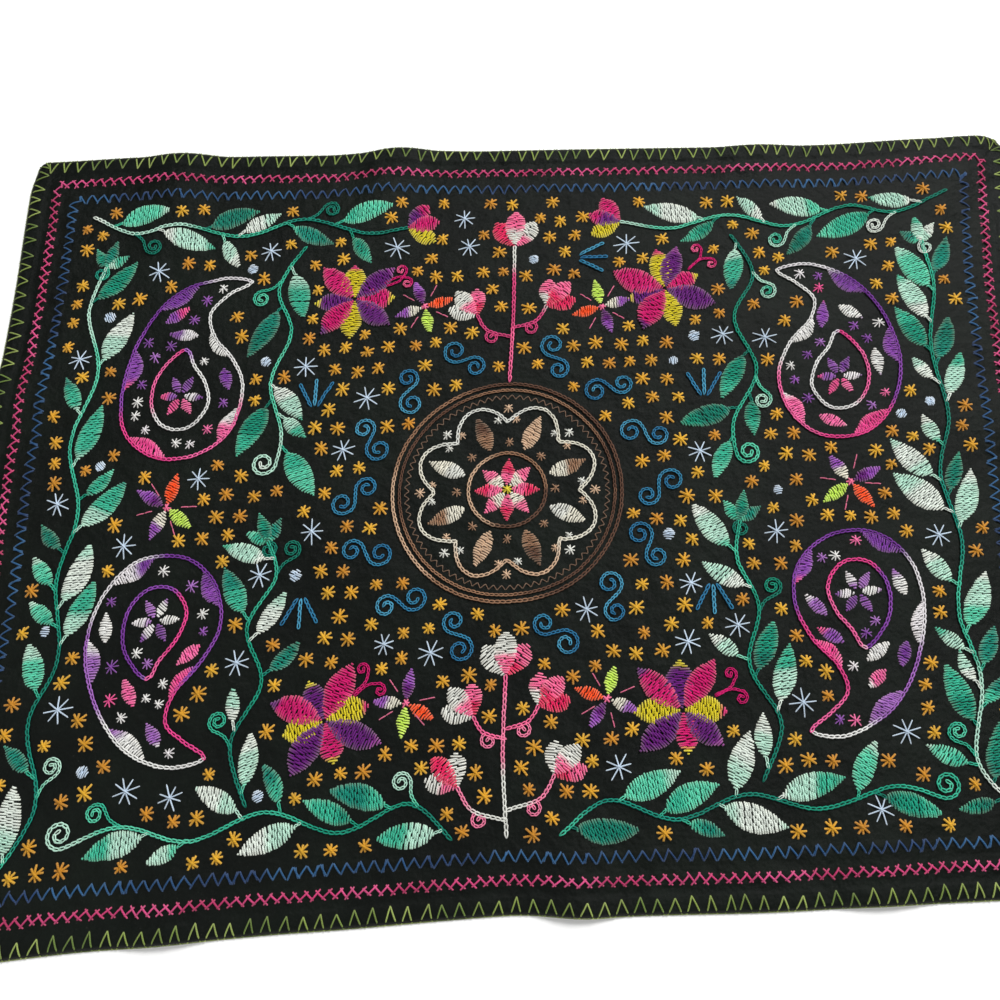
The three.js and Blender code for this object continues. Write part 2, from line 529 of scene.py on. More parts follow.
def star(sewing, place, size, width, dye, rays=4, apart=1.2):
    """A star of crossed straight stitches, the last one uppermost, with room kept round it."""
    turn = HAND.uniform(-0.2, 0.2)
    for i in range(rays):
        heading = turn + math.pi * i / rays + HAND.normal(0, 0.06)
        length = size * (1.0 if i % 2 else 0.88) * HAND.uniform(0.88, 1.1) / 2
        middle = np.asarray(place) + wobble(0.35)
        start, end = polar(middle, heading, -length), polar(middle, heading, length)
        sewing.bar(start, end, width, linear(dye), lift=0.5 + 0.45 * i, ends=(0.7, 0.7))
    GROUND.take(place, size / 2 + apart)


def row_round(inward, gap, corner):
    """Even places along a row that runs all round, inward from the edge, and the ways on and outwards."""
    arcs = []
    for first, quarter in enumerate(((1, 1), (-1, 1), (-1, -1), (1, -1))):
        turn = np.linspace(first, first + 1, 9) * math.pi / 2
        centre = (HALF_CUT - inward - corner) * quarter
        arcs.append(centre + corner * np.stack([np.cos(turn), np.sin(turn)], axis=1))
    points, heading = spaced(np.vstack([*arcs, arcs[0][:1]]), gap)
    outward = np.stack([np.sin(heading), -np.cos(heading)], axis=1)
    return points[:-1], heading[:-1], outward[:-1]


EDGE_STITCH_PITCH = 16.2


def edge_stitches():
    """Closed buttonhole stitches over the hem: pairs of legs that meet inwards, tied along the rim."""
    rim, headings, outward = row_round(0.0, 1.0, 1.0)
    count = round(len(rim) / EDGE_STITCH_PITCH)
    last_foot = None
    for i in range(count + 1):
        middle = (i % count) * len(rim) / count + HAND.normal(0, 0.9)
        at = int(round(middle)) % len(rim)
        apex = rim[at] - outward[at] * HAND.uniform(12.5, 16.5)
        apex = apex + toward(headings[at], HAND.normal(0, 0.8))
        spread = HAND.uniform(5.0, 6.8)
        colour = dyed(EDGE_GREENS, i * 0.37)
        for hand in (-1, 1):
            foot_at = int(round(middle + hand * spread)) % len(rim)
            out = outward[foot_at]
            foot = rim[foot_at] + out * 0.6
            if last_foot is not None:
                EDGE.bar(last_foot, foot, 1.1, colour * 0.7, rise=-0.9)
            last_foot = foot
            if i < count:
                EDGE.bar(apex, foot, 1.7, colour, lift=0.3, ends=(0.4, 0.4))
                over_rim, size = foot + out * 0.1, (3.6, 1.5, 1.3)
                EDGE.add(over_rim, heading_of(out), size, colour, rise=-1.2, tip=math.pi / 2)


def slanting(inward, gap, corner, reach, slip, overlap=0.0):
    """The ends of stitches that slant up and down by turns in a row all round, with the row's heading."""
    points, headings, outward = row_round(inward, gap, corner)
    for i, heading in enumerate(headings):
        j = (i + 1) % len(points)
        hand = 1 if i % 2 else -1
        along = toward(heading, overlap)
        a = points[i] - along - outward[i] * hand * HAND.uniform(*reach) + wobble(slip)
        b = points[j] + along + outward[j] * hand * HAND.uniform(*reach) + wobble(slip)
        yield i, a, b, heading


def pink_row():
    """Herringbone: long slanting stitches that cross near the top and the foot of the row."""
    for i, a, b, _ in slanting(PINK_ROW_IN, 5.3, 5.0, (4.0, 5.2), 0.55, overlap=1.9):
        PINK.bar(a, b, 1.95, dyed(PINK_ROW, i * 0.11), lift=0.35 if i % 2 else 0.9, ends=(0.5, 0.5))


def blue_row():
    """A zigzag of straight stitches, with a second pass of yarn here and there."""
    for i, a, b, heading in slanting(BLUE_ROW_IN, 6.2, 4.0, (4.6, 5.8), 0.5):
        colour = dyed(BLUE_ROW, i * 0.09)
        BLUE.bar(a, b, 1.95, colour, lift=0.35, ends=(0.3, 0.3))
        if HAND.random() < 0.24:
            start, end = a + toward(heading, 2.0), b - toward(heading, 1.8)
            BLUE.bar(start, end, 1.6, colour, lift=0.8, ends=(0.3, 0.3))


# The vines, as knots on the right half: the left half has them mirrored, and each is redrawn by hand.
LONG_VINE = [
    *((474, -334), (446, -282), (462, -212), (444, -142), (460, -70)),
    *((444, 0), (460, 72), (444, 146), (461, 222), (448, 274)),
]
VINES_DRAWN = [
    ("sprout", LONG_VINE),
    ("bud", [(474, 336), (424, 312), (366, 328), (300, 306), (234, 324), (166, 302), (118, 312)]),
    ("curl", [(52, -338), (96, -308), (160, -326), (228, -304), (296, -324), (362, -304), (410, -318)]),
    ("sprout", [(246, -296), (262, -240), (238, -184), (256, -128), (232, -78), (240, -40)]),
    ("curl", [(236, 292), (262, 242), (240, 188), (258, 130), (234, 76), (240, 40)]),
]


def heading_at(line, at):
    """A line's heading about one of its points."""
    return heading_of(line[min(at + 4, len(line) - 1)] - line[max(at - 4, 0)])


def sprout(place, heading, hand, dyes_at):
    """Three small leaves at the end of a shoot, with a curl beside them."""
    for lean, length in ((-0.8, 27), (0.8, 27), (0.0, 33)):
        tip = polar(place, heading + lean, length)
        leaf(LEAVES, place, tip, 12.5, TEALS, dyes_at + lean * 2, 2.0, rise=0.9 * (lean == 0))
    GROUND.take(polar(place, heading, 15), 19)
    winding = curl(place, heading + hand * 1.9, hand, 8.5, 1.4)
    chain(VINES, winding, TEALS, dyes_at, 90, gap=4.2, width=0.85, room=(6, 2.6))


def bud(place, heading, dyes_at):
    """A half-open flower at the end of a shoot."""
    kinds = [[MAGENTA, MAGENTA], [YELLOW, YELLOW], [PLUM, MAGENTA]]
    for k, lean in enumerate((-0.7, 0.7, 0.0)):
        tip, dyes = polar(place, heading + lean, 36), kinds[(k + dyes_at) % 3]
        leaf(BLOOMS, place, tip, 19, dyes, 0.2, 1.0, half=petal_half, hold=9, rise=1.0 * (lean == 0))
        GROUND.take(polar(place, heading + lean, 22), 11)


def tendrils(line, dyes_at):
    """Curls that spring from a stem wherever there is room."""
    at = int(HAND.uniform(25, 60))
    while at < len(line) - 20:
        heading = heading_at(line, at)
        for hand in (1, -1) if HAND.random() < 0.5 else (-1, 1):
            bow = polar(line[at], heading + hand * 0.5, 13)
            arm = smooth([line[at], bow, polar(line[at], heading + hand * 0.75, 24)])
            winding = with_curl(arm, heading + hand * 1.1, -hand, 9.5, 1.5)
            if GROUND.free(winding[12::5], 3.5):
                dyes = dyes_at + HAND.uniform(0, 4)
                chain(VINES, winding, TEALS, dyes, 90, gap=4.3, width=0.85, room=(5, 3.0))
                at += 70
                break
        at += 16


def vine(ending, knots, flip, dyes_at):
    """A chain-stitched stem, with what grows at its end."""
    line = smooth([(x * flip, y) + wobble(2.5) for x, y in knots])
    heading = heading_at(line, len(line) - 1)
    drawn = line
    if ending == "curl":
        drawn = with_curl(line, heading, flip, 13, 1.5)
    elif ending == "sprout":
        sprout(line[-1], heading, flip, dyes_at)
    else:
        bud(line[-1], heading, 0 if flip == 1 else 1)
    chain(VINES, drawn, TEALS, dyes_at, 105, room=(5, 3.2))
    return line


def leaf_on(line, at, hand):
    """One leaf at a place along a stem, turned and shortened until it fits."""
    heading = heading_at(line, at)
    for length, lean in product((60, 54, 48, 42, 36), (0.62, 0.78, 0.48, 0.95)):
        length_here = length * HAND.uniform(0.94, 1.06)
        way = heading + hand * lean * HAND.uniform(0.92, 1.08)
        base = polar(line[at], heading + hand * lean * 1.25, HAND.uniform(6, 11))
        tip = polar(base, way, length_here)
        width = length_here * HAND.uniform(0.36, 0.42)
        bend = hand * HAND.uniform(-1.0, 3.0)
        places, radius = blade_room(base, tip, width, bend)
        if GROUND.free(places, radius * 0.86) and GROUND.free(tip, 2.0):
            dyes, runs = HAND.uniform(0, 9), HAND.uniform(0.8, 2.2)
            axis = leaf(LEAVES, base, tip, width, TEALS, dyes, runs, bend, slant=0.32 * hand)
            chain(VINES, np.array([line[at], base]), TEALS, dyes, 105, gap=4.4, width=0.8)
            for k in (6, 14, 20, 26, 33):
                GROUND.take(axis[k], width / 2 * leaf_half(k / 39) + 1.2)
            return


def leaves_along(line):
    """Leaves down both sides of a stem by turns."""
    at, hand = 12, 1 if HAND.random() < 0.5 else -1
    while at < len(line) - 4:
        leaf_on(line, at, hand)
        hand = -hand
        at += int(HAND.uniform(16, 22))


# A paisley's outline about the middle of its body, drawn from the tip down its back and round.
PAISLEY = [
    *((-70, 150), (-28, 156), (22, 132), (58, 82), (73, 20), (62, -38), (24, -72)),
    *((-26, -72), (-64, -40), (-74, 8), (-58, 48), (-32, 78), (-24, 108), (-44, 132)),
]
PAISLEY_HEART = [(2, 62), (30, 30), (34, -8), (16, -36), (-14, -38), (-34, -12), (-28, 18), (-12, 40)]
PAISLEY_SCALE = 0.88
# Its swellings, each from one share of the outline to another, and how deep.
SWELLS = [(0.10, 0.19, 15), (0.27, 0.35, 14), (0.44, 0.53, 16), (0.62, 0.70, 14), (0.80, 0.87, 11)]
# The length of its outline to one dye, and how far apart the small stars inside it are tried.
BAND_RUN = 92
SMALL_STAR_GAP = 16


def paisley(place, turn, flip, dyes_at):
    """A large paisley: a dyed chain line with satin swellings round a flower of satin leaves."""
    drawn = [np.array(knot) + wobble(1.2) for knot in PAISLEY]
    outline = smooth(turned(drawn, turn, PAISLEY_SCALE, place, flip), closed=True)
    heart = smooth(turned(PAISLEY_HEART, turn, PAISLEY_SCALE, place, flip), closed=True)
    chain(BANDS, outline, BAND_DYES, dyes_at, BAND_RUN, room=(4, 3.4))
    chain(BANDS, heart, BAND_DYES, dyes_at + 3.4, 70, room=(4, 3.2))
    for first, last, depth in SWELLS:
        part = slice(int(first * len(outline)), int(last * len(outline)))
        swelling(outline, part, depth, dyes_at + first * len(outline) / BAND_RUN)
    core = np.asarray(place, float) + (0, 2)
    for k in range(6):
        way = math.pi * k / 3 + HAND.normal(0, 0.08)
        base, tip = polar(core, way, 4), polar(core, way, 24)
        leaf(BAND_FILLS, base, tip, 9.5, BAND_DYES, dyes_at + k * 0.7, 0.8)
    GROUND.take(core, 26)
    return outline


def swelling(outline, part, depth, dyes_at):
    """A satin swelling on the inner side of part of an outline."""
    line = outline[part]
    share = np.linspace(0, 1, len(line))
    ahead = np.gradient(line, axis=0)
    across = np.stack([-ahead[:, 1], ahead[:, 0]], axis=1) / np.hypot(*ahead.T)[:, None]
    half = len(line) // 2
    sign = 1 if inside(line[half] + across[half] * 6, outline)[0] else -1
    reach = sign * depth * HAND.uniform(0.85, 1.1)
    bulge = line + across * (reach * np.sin(math.pi * share) ** 0.8)[:, None]
    satin(BAND_FILLS, line, bulge, BAND_DYES, dyes_at, 0.9)
    for a, b in zip(line[3::7], bulge[3::7]):
        GROUND.take((a + b) / 2, float(np.hypot(*(a - b))) / 2 + 1)


def fill_inside(outline, dyes_at):
    """Small leaves and stars over the ground inside a paisley."""
    low, high = outline.min(axis=0), outline.max(axis=0)
    for k in range(16):
        way = HAND.uniform(0, 2 * math.pi)
        for _ in range(30):
            base = low + (high - low) * HAND.random(2)
            tip = polar(base, way, HAND.uniform(26, 34))
            places, radius = blade_room(base, tip, 9, 0)
            ends = np.vstack([places, base, tip])
            if inside(ends, outline).all() and GROUND.free(ends, radius):
                axis = leaf(BAND_FILLS, base, tip, 12, BAND_DYES, dyes_at + k, 1.0)
                GROUND.take(axis[::6], 6.5)
                break
    for x, y in product(*(np.arange(*span, SMALL_STAR_GAP) for span in zip(low, high))):
        for _ in range(4):
            at = (x, y) + HAND.uniform(-4, 4, 2)
            if inside(at, outline)[0] and GROUND.free(at, 6.2):
                dye = picked(BAND_DYES)
                star(SMALL_STARS, at, HAND.uniform(11, 14.5), 1.45, dye)
                break


def flower(place, size, turn, dyes_at):
    """A large flower of uneven petals, magenta, plum and yellow by turns, with two curled feelers."""
    kinds = [
        *([MAGENTA, MAGENTA, YELLOW], [PLUM, PLUM, VIOLET], [YELLOW, YELLOW, MAGENTA], [MAGENTA] * 3),
        *([PLUM, PLUM, YELLOW], [MAGENTA, MAGENTA, PLUM], [YELLOW] * 3, [PLUM] * 3),
    ]
    for k in range(8):
        way = turn + math.pi * k / 4 + HAND.normal(0, 0.1)
        length = size * (1.0 if k % 2 else 0.82) * HAND.uniform(0.86, 1.08)
        width, bend = size * HAND.uniform(0.38, 0.5), HAND.uniform(-2.5, 2.5)
        dyes, looks = kinds[(k + dyes_at) % 8], {"half": oval_half, "slant": 0.16, "hold": 8.5}
        base, tip = polar(place, way, 2), polar(place, way, length)
        axis = leaf(BLOOMS, base, tip, width, dyes, 0.0, 2.2, bend, rise=1.0 * (k % 2), **looks)
        for at in (14, 24, 33):
            GROUND.take(axis[at], width / 2 * (1.0 if at < 30 else 0.6))
    GROUND.take(place, size * 0.62)
    for hand in (-1, 1):
        way = turn + math.pi / 8 + HAND.normal(0, 0.05)
        reaches = ((0, 0.62), (0, 0.9), (hand * 0.1, 1.06))
        knots = [polar(place, way + lean, size * share) for lean, share in reaches]
        feeler = with_curl(smooth(knots), way + hand * 0.5, hand, 6.5, 1.15)
        chain(VINES, feeler, [MAGENTA, ROSE, MAGENTA], dyes_at, 45, gap=4.0, width=0.72, room=(5, 2.6))


def small_flower(place, size, turn, dyes_at):
    """Four slim petals with four thin rays between them and a knot in the middle."""
    kinds = [[PLUM, LILAC], [CREAM, LILAC], [LIME, LIME], [FLAME, FLAME]]
    for k in range(4):
        way = turn + math.pi * k / 2 + HAND.normal(0, 0.12)
        dyes = kinds[(k + dyes_at) % 4]
        leaf(BLOOMS, polar(place, way, 4), polar(place, way, size), size * 0.34, dyes, 0.3, 1.2)
        ray = way + math.pi / 4 + HAND.normal(0, 0.08)
        thread = spaced([polar(place, ray, size * 0.4), polar(place, ray, size * 0.85)], 9)[0]
        for a, b in zip(thread, thread[1:]):
            inset = (b - a) * 0.01
            BLOOMS.bar(a + inset, b - inset, 1.3, linear(ROSE) * 0.75, lift=0.25)
        GROUND.take(polar(place, ray, size * 0.62), 5)
        GROUND.take(polar(place, way, size * 0.62), size * 0.3)
    star(BLOOMS, place, 9, 2.0, ROSE, rays=3)
    GROUND.take(place, size * 0.55)


def tulip(place, heading, size, dyes_at):
    """Three rounded petals in crimson, rose and white."""
    kinds = [[ROSE, WHITE], [CRIMSON, CRIMSON], [WHITE, ROSE], [CRIMSON, ROSE], [WHITE, WHITE]]
    looks = {"half": petal_half, "slant": 0.12, "hold": 9}
    for k, (lean, share) in enumerate(((-0.62, 0.86), (0.62, 0.86), (0.0, 1.0))):
        tip, dyes = polar(place, heading + lean, size * share), kinds[(k + dyes_at) % 5]
        leaf(BLOOMS, place, tip, size * 0.5, dyes, 0.2, 1.4, rise=1.0 * (lean == 0), **looks)
        GROUND.take(polar(place, heading + lean, size * share * 0.62), size * 0.27)


def spray(foot, head, side_shoots, dyes_at):
    """An upright stem with tulips on its side shoots and one at its head."""
    dyes = [ROSE, DEEP_ROSE, WHITE, WHITE, LIGHT_ROSE]
    foot, head = np.asarray(foot, float), np.asarray(head, float)
    way = heading_of(head - foot)
    stem = smooth([foot, foot + (head - foot) * 0.5 + wobble(1.5), head])
    chain(VINES, stem, dyes, dyes_at, 70, width=1.05, room=(4, 3.4))
    tulip(head, way, 44, dyes_at)
    for share, hand, length in side_shoots:
        start = foot + (head - foot) * share
        bow = polar(start, way + hand * 1.25, length * 0.6)
        shoot = smooth([start, bow, polar(start, way + hand * 0.95, length)])
        chain(VINES, shoot, dyes, dyes_at + share * 3, 60, gap=4.8, room=(4, 3.2))
        tulip(shoot[-1], way + hand * 0.7, 38, dyes_at + int(share * 7) + hand)
        winding = curl(shoot[len(shoot) // 2], way + hand * 2.1, hand, 8, 1.1)
        chain(VINES, winding, dyes, dyes_at + 1, 60, gap=4.2, width=0.85, room=(5, 2.6))


def scroll(place, heading, size, hand, dyes_at):
    """An S-shaped scroll with a curl at each end."""
    straight = toward(heading, size * 0.16)
    one = curl(place, heading, hand, size * 0.30, 1.35) + straight
    other = curl(place, heading + math.pi, hand, size * 0.26, 1.35) - straight
    line = np.vstack([other[::-1], one])
    chain(SCROLLS, line, SCROLL_BLUES, dyes_at, 70, gap=4.4, width=0.92, room=(4, 3.2))


def fan(place, heading, size, dyes_at):
    """Three short straight rows that point to one place, if there is room for them."""
    ways = (heading - 0.5, heading, heading + 0.5)
    rows = [spaced([polar(place, way, 8), polar(place, way, size)], 5)[0] for way in ways]
    if all(GROUND.free(row, 3.5) for row in rows):
        for k, row in enumerate(rows):
            chain(SCROLLS, row, SCROLL_BLUES, dyes_at + k, 70, room=(1, 3.2))


def ring(radius, count=0, depth=0.0):
    """A circle about the middle of the cloth, scalloped into count lobes."""
    angle = np.linspace(0, 2 * math.pi, 361)
    lobes = np.abs(np.sin(angle * count / 2)) if count else 0
    reach = radius + depth * (lobes - 1)
    return np.stack([reach * np.cos(angle), reach * np.sin(angle)], axis=1)


def rosette_rings():
    """The rosette's chain-stitched rings, with a fine zigzag between the two outer ones."""
    chain(ROSETTE, ring(118), [BROWN, BROWN, TAN, BEIGE, TAN], 0, 120)
    chain(ROSETTE, ring(111), [BROWN, TAN], 0.5, 160, gap=4.8, width=0.85)
    chain(ROSETTE, ring(96, 8, 22), [CREAM, WHITE, CREAM, BEIGE], 0, 150)
    chain(ROSETTE, ring(40), [TAN, BEIGE, BROWN], 0, 90)
    line = spaced(ring(103.5), 4.2)[0]
    outward = line / np.hypot(*line.T)[:, None]
    for i in range(len(line) - 1):
        reach = 2.6 if i % 2 else -2.6
        a, b = line[i] - outward[i] * reach, line[i + 1] + outward[i + 1] * reach
        ROSETTE_FILLS.bar(a, b, 1.1, linear(BROWN), lift=0.3)


def rosette():
    """The round rosette in the middle, in browns and cream, with a rose core."""
    rosette_rings()
    kinds = [[CREAM, TAN], [BEIGE, BEIGE], [TAN, BROWN], [WHITE, CREAM]]
    between = ((0.27, 78, 9.5, BEIGE), (-0.27, 78, 9.5, WHITE), (0.393, 52, 10.5, TAN))
    for k in range(8):
        way = math.pi * k / 4 + math.pi / 8
        bend = HAND.uniform(-1, 1)
        leaf(ROSETTE_FILLS, toward(way, 47), toward(way, 88), 16, kinds[k % 4], 0.2, 1.4, bend)
        for lean, reach, size, dye in between:
            star(SMALL_STARS, toward(way + lean, reach) + wobble(0.8), size, 1.35, dye)
        notch = toward(way + math.pi / 8, 90) + wobble(0.6)
        star(SMALL_STARS, notch, 11.5, 1.5, BEIGE if k % 2 else WHITE)
    for k in range(8):
        way = math.pi * k / 4 + HAND.normal(0, 0.05)
        dyes = [CREAM, ROSE] if k % 2 else [ROSE, CRIMSON]
        leaf(ROSETTE_FILLS, toward(way, 5), toward(way, 34), 13.5, dyes, 0.3, 1.2)
    star(SMALL_STARS, (0, 0), 12, 1.8, YELLOW)
    GROUND.take((0, 0), 121)


def pale_star(place):
    """A large open star in thin pale yarn."""
    size = 13.5 * HAND.uniform(1.75, 2.1)
    turn = HAND.uniform(0, 0.4)
    for i in range(4):
        heading = turn + math.pi * i / 4 + HAND.normal(0, 0.05)
        reach = toward(heading, size * HAND.uniform(0.85, 1.1) / 2)
        PALE.bar(place - reach, place + reach, 1.5, linear(PALE_BLUE), lift=0.4 + 0.4 * i)
    GROUND.take(place, size / 2 + 1)


def pale_dot(place):
    """A little round satin spot."""
    size = HAND.uniform(10, 12.5)
    reach = toward(HAND.uniform(0, math.pi), size / 2)
    dyes, looks = [PALE_BLUE, ICE_BLUE], {"half": round_half, "gap": 1.9, "slant": 0.1, "yarn": 1.6}
    leaf(PALE, place - reach, place + reach, size * 0.95, dyes, 0.2, 1.0, **looks)
    GROUND.take(place, size / 2 + 1.5)


def corner_motifs():
    """Four paisleys and four flowers, and a small flower at each side. Gives the paisleys' outlines."""
    outlines = []
    for flip in (1, -1):
        for end in (1, -1):
            turn = 0.0 if end == 1 else math.pi
            outlines.append(paisley((350 * flip, 118 * end), turn, flip != end, HAND.uniform(0, 8)))
            flower((172 * flip, 226 * end) + wobble(3), 57, HAND.uniform(0, 0.5), 0 if end == 1 else 2)
        small_flower((352 * flip, 0) + wobble(2), 37, 0.5 * flip, 0 if flip == 1 else 2)
    return outlines


def scrolls_and_fans():
    """Scrolls round the rosette, small flowers beside the sprays, and fans beyond them."""
    for flip in (1, -1):
        for way in (-72, -47, -23, 0, 23, 47, 72):
            around = math.radians(way if flip == 1 else 180 - way)
            hand = 1 if way % 2 else -1
            scroll(toward(around, 156), around + math.pi / 2, 44, hand, HAND.uniform(0, 4))
        for end in (1, -1):
            small_flower((98 * flip, 212 * end) + wobble(2), 34, 0.3 * end, 1 if flip == 1 else 3)
            fan((66.0 * flip, 270 * end), 0 if flip == 1 else math.pi, 36, 0)
            fan((206.0 * flip, 96 * end), end * math.pi / 2, 36, 1)


def pale_scatter(outlines):
    """Pale stars and dots wherever there is room between the motifs."""
    for tries, room, draw in ((160, 13.5, pale_star), (60, 9.0, pale_dot)):
        for _ in range(tries):
            place = HAND.uniform(-1, 1, 2) * (470, 330)
            if not inside_any(place, outlines) and GROUND.free(place, room):
                draw(place)


def orange_star(place, size, outlines):
    """An orange star at the first free place of a few near a place, unless that is inside a paisley."""
    for _ in range(5):
        near = place + HAND.uniform(-4.5, 4.5, 2)
        if GROUND.free(near, size / 2 + 0.8):
            if not inside_any(near, outlines):
                dye = picked(ORANGES)
                star(STARS, near, size * HAND.uniform(0.88, 1.04), 2.45, dye, apart=4.6)
            return


def orange_scatter(outlines):
    """Rows of orange stars over what is left of the ground, then smaller ones in the gaps."""
    for size, gap in ((17.0, 24.5), (15.0, 13.0)):
        for row, y in enumerate(np.arange(-344, 345, gap * 0.9)):
            for x in np.arange(-486, 487, gap):
                orange_star((x + (row % 2) * gap / 2, y), size, outlines)


def embroider():
    """Sets out the whole design on the cut."""
    edge_stitches()
    pink_row()
    blue_row()
    rosette()
    outlines = corner_motifs()
    spray((0, 122), (0, 284), [(0.32, 1, 46), (0.38, -1, 46)], 0)
    spray((0, -342), (0, -192), [(0.1, 1, 56), (0.16, -1, 56), (0.6, 1, 38), (0.66, -1, 38)], 3)
    stems = [vine(*drawn, flip, HAND.uniform(0, 9)) for flip in (1, -1) for drawn in VINES_DRAWN]
    scrolls_and_fans()
    pale_scatter(outlines)
    for line in stems:
        tendrils(line, HAND.uniform(0, 9))
        leaves_along(line)
    for outline in outlines:
        fill_inside(outline, HAND.uniform(0, 8))
    orange_scatter(outlines)


# Node trees, with sums written as expressions.
class Value:
    """A node's socket in a sum: each operator adds the Math node that works it out."""

    def __init__(self, tree, socket):
        self.tree, self.socket = tree, socket

    def __add__(self, other):
        return self.tree.sum("ADD", self, other)

    def __radd__(self, other):
        return self.tree.sum("ADD", other, self)

    def __sub__(self, other):
        return self.tree.sum("SUBTRACT", self, other)

    def __rsub__(self, other):
        return self.tree.sum("SUBTRACT", other, self)

    def __mul__(self, other):
        return self.tree.sum("MULTIPLY", self, other)

    def __rmul__(self, other):
        return self.tree.sum("MULTIPLY", other, self)

    def __pow__(self, other):
        return self.tree.sum("POWER", self, other)

    def __gt__(self, other):
        return self.tree.sum("GREATER_THAN", self, other)


class Tree:
    """A node tree with one method that adds any node, and short names for those used most."""

    def __init__(self, tree):
        self.tree = tree

    def node(self, kind, settings=(), sockets=(), out=0):
        made = self.tree.nodes.new(kind)
        for name, value in dict(settings).items():
            setattr(made, name, value)
        for name, value in dict(sockets).items():
            if isinstance(value, Value):
                self.tree.links.new(value.socket, made.inputs[name])
            else:
                made.inputs[name].default_value = value
        self.last = made
        return Value(self, made.outputs[out]) if len(made.outputs) else made

    def join(self, value, socket):
        self.tree.links.new(value.socket, socket)

    def sum(self, operation, *values):
        return self.node("ShaderNodeMath", {"operation": operation}, dict(enumerate(values)))

    def parts(self, vector):
        self.node("ShaderNodeSeparateXYZ", (), {0: vector})
        return [Value(self, socket) for socket in self.last.outputs]

    def vector(self, x, y, z):
        return self.node("ShaderNodeCombineXYZ", (), {0: x, 1: y, 2: z})

    def scaled(self, colour, amount):
        return self.node("ShaderNodeVectorMath", {"operation": "SCALE"}, {0: colour, "Scale": amount})

    def blend(self, factor, one, other):
        return self.node("ShaderNodeMix", {"data_type": "RGBA"}, {0: factor, 6: one, 7: other}, out=2)

    def spread(self, value, low, high, to_low=0.0, to_high=1.0):
        """A value's range brought to another, held at its ends."""
        ends = {0: value, 1: low, 2: high, 3: to_low, 4: to_high}
        return self.node("ShaderNodeMapRange", {"interpolation_type": "SMOOTHSTEP"}, ends)

    def noise(self, place, scale, detail=2.0, roughness=0.5):
        sockets = {"Vector": place, "Scale": scale, "Detail": detail, "Roughness": roughness}
        return self.node("ShaderNodeTexNoise", (), sockets)

    def mark(self, name, out):
        """What a piece's points hold under a name, for its material."""
        return self.node("ShaderNodeAttribute", {"attribute_name": name}, out=out)

    def bump(self, strength, distance, height, **more):
        sockets = {"Strength": strength, "Distance": distance, "Height": height, **more}
        return self.node("ShaderNodeBump", (), sockets)

    def held(self, name, kind="FLOAT"):
        """What the points hold under a name, for a stitch's tree."""
        return self.node("GeometryNodeInputNamedAttribute", {"data_type": kind}, {"Name": name})

    def keep(self, geometry, name, value, kind="FLOAT"):
        """Has the points hold a value under a name."""
        stored = {"Geometry": geometry, "Name": name, "Value": value}
        return self.node("GeometryNodeStoreNamedAttribute", {"data_type": kind, "domain": "POINT"}, stored)


LINK_LENGTH, LINK_WIDTH, LINK_YARN = 7.2, 3.5, 1.45
TREE_INPUTS = {"Sides": "Int", "Steps": "Int", "Buried depth": "Float", "Yarn": "Material"}
# How finely the yarn of each form of stitch is made.
FORM_SIZES = {"bar": {"Sides": 5, "Steps": 4}, "loop": {"Sides": 4, "Steps": 9}}
BURIED_DEPTH = 0.9


def bar_core(tree, steps, share):
    """A straight line, thinner towards its ends, and the yarn's radius."""
    core = tree.node("GeometryNodeCurvePrimitiveLine", (), {"Start": (-0.5, 0, 0), "End": (0.5, 0, 0)})
    core = tree.node("GeometryNodeResampleCurve", (), {"Curve": core, "Count": steps})
    core = tree.keep(core, "along", share)
    ends = tree.sum("ABSOLUTE", share * 2 - 1)
    return tree.node("GeometryNodeSetCurveRadius", (), {"Curve": core, "Radius": 1 - 0.3 * ends**4}), 0.5


def loop_core(tree, steps, share):
    """One link of a chain, narrow at its start and raised where it lies over the last, and the radius."""
    core = tree.node("GeometryNodeCurvePrimitiveCircle", (), {"Resolution": steps, "Radius": 1.0})
    core = tree.keep(core, "along", share)
    angle = share * (2 * math.pi)
    forward = (1 - tree.sum("COSINE", angle)) * 0.5
    across = tree.sum("SINE", angle) * (0.42 + 0.58 * forward)
    up = tree.spread(forward, 0.0, 0.4, -0.5, 1.25) - tree.spread(forward, 0.7, 1.0, 0.0, 0.55)
    place = tree.vector((forward - 0.5) * LINK_LENGTH, across * (LINK_WIDTH / 2), up * (LINK_YARN / 2))
    return tree.node("GeometryNodeSetPosition", (), {"Geometry": core, "Position": place}), LINK_YARN / 2


def arched(tree, stitches, along, buried):
    """Raises straight stitches into low arches whose ends go down into the cloth."""
    arch = 1 - tree.sum("ABSOLUTE", along * 2 - 1) ** 3
    rise = (buried + tree.held("lift")) * arch - buried
    raised = {"Geometry": stitches, "Offset": tree.vector(0.0, 0.0, rise)}
    return tree.node("GeometryNodeSetPosition", (), raised)


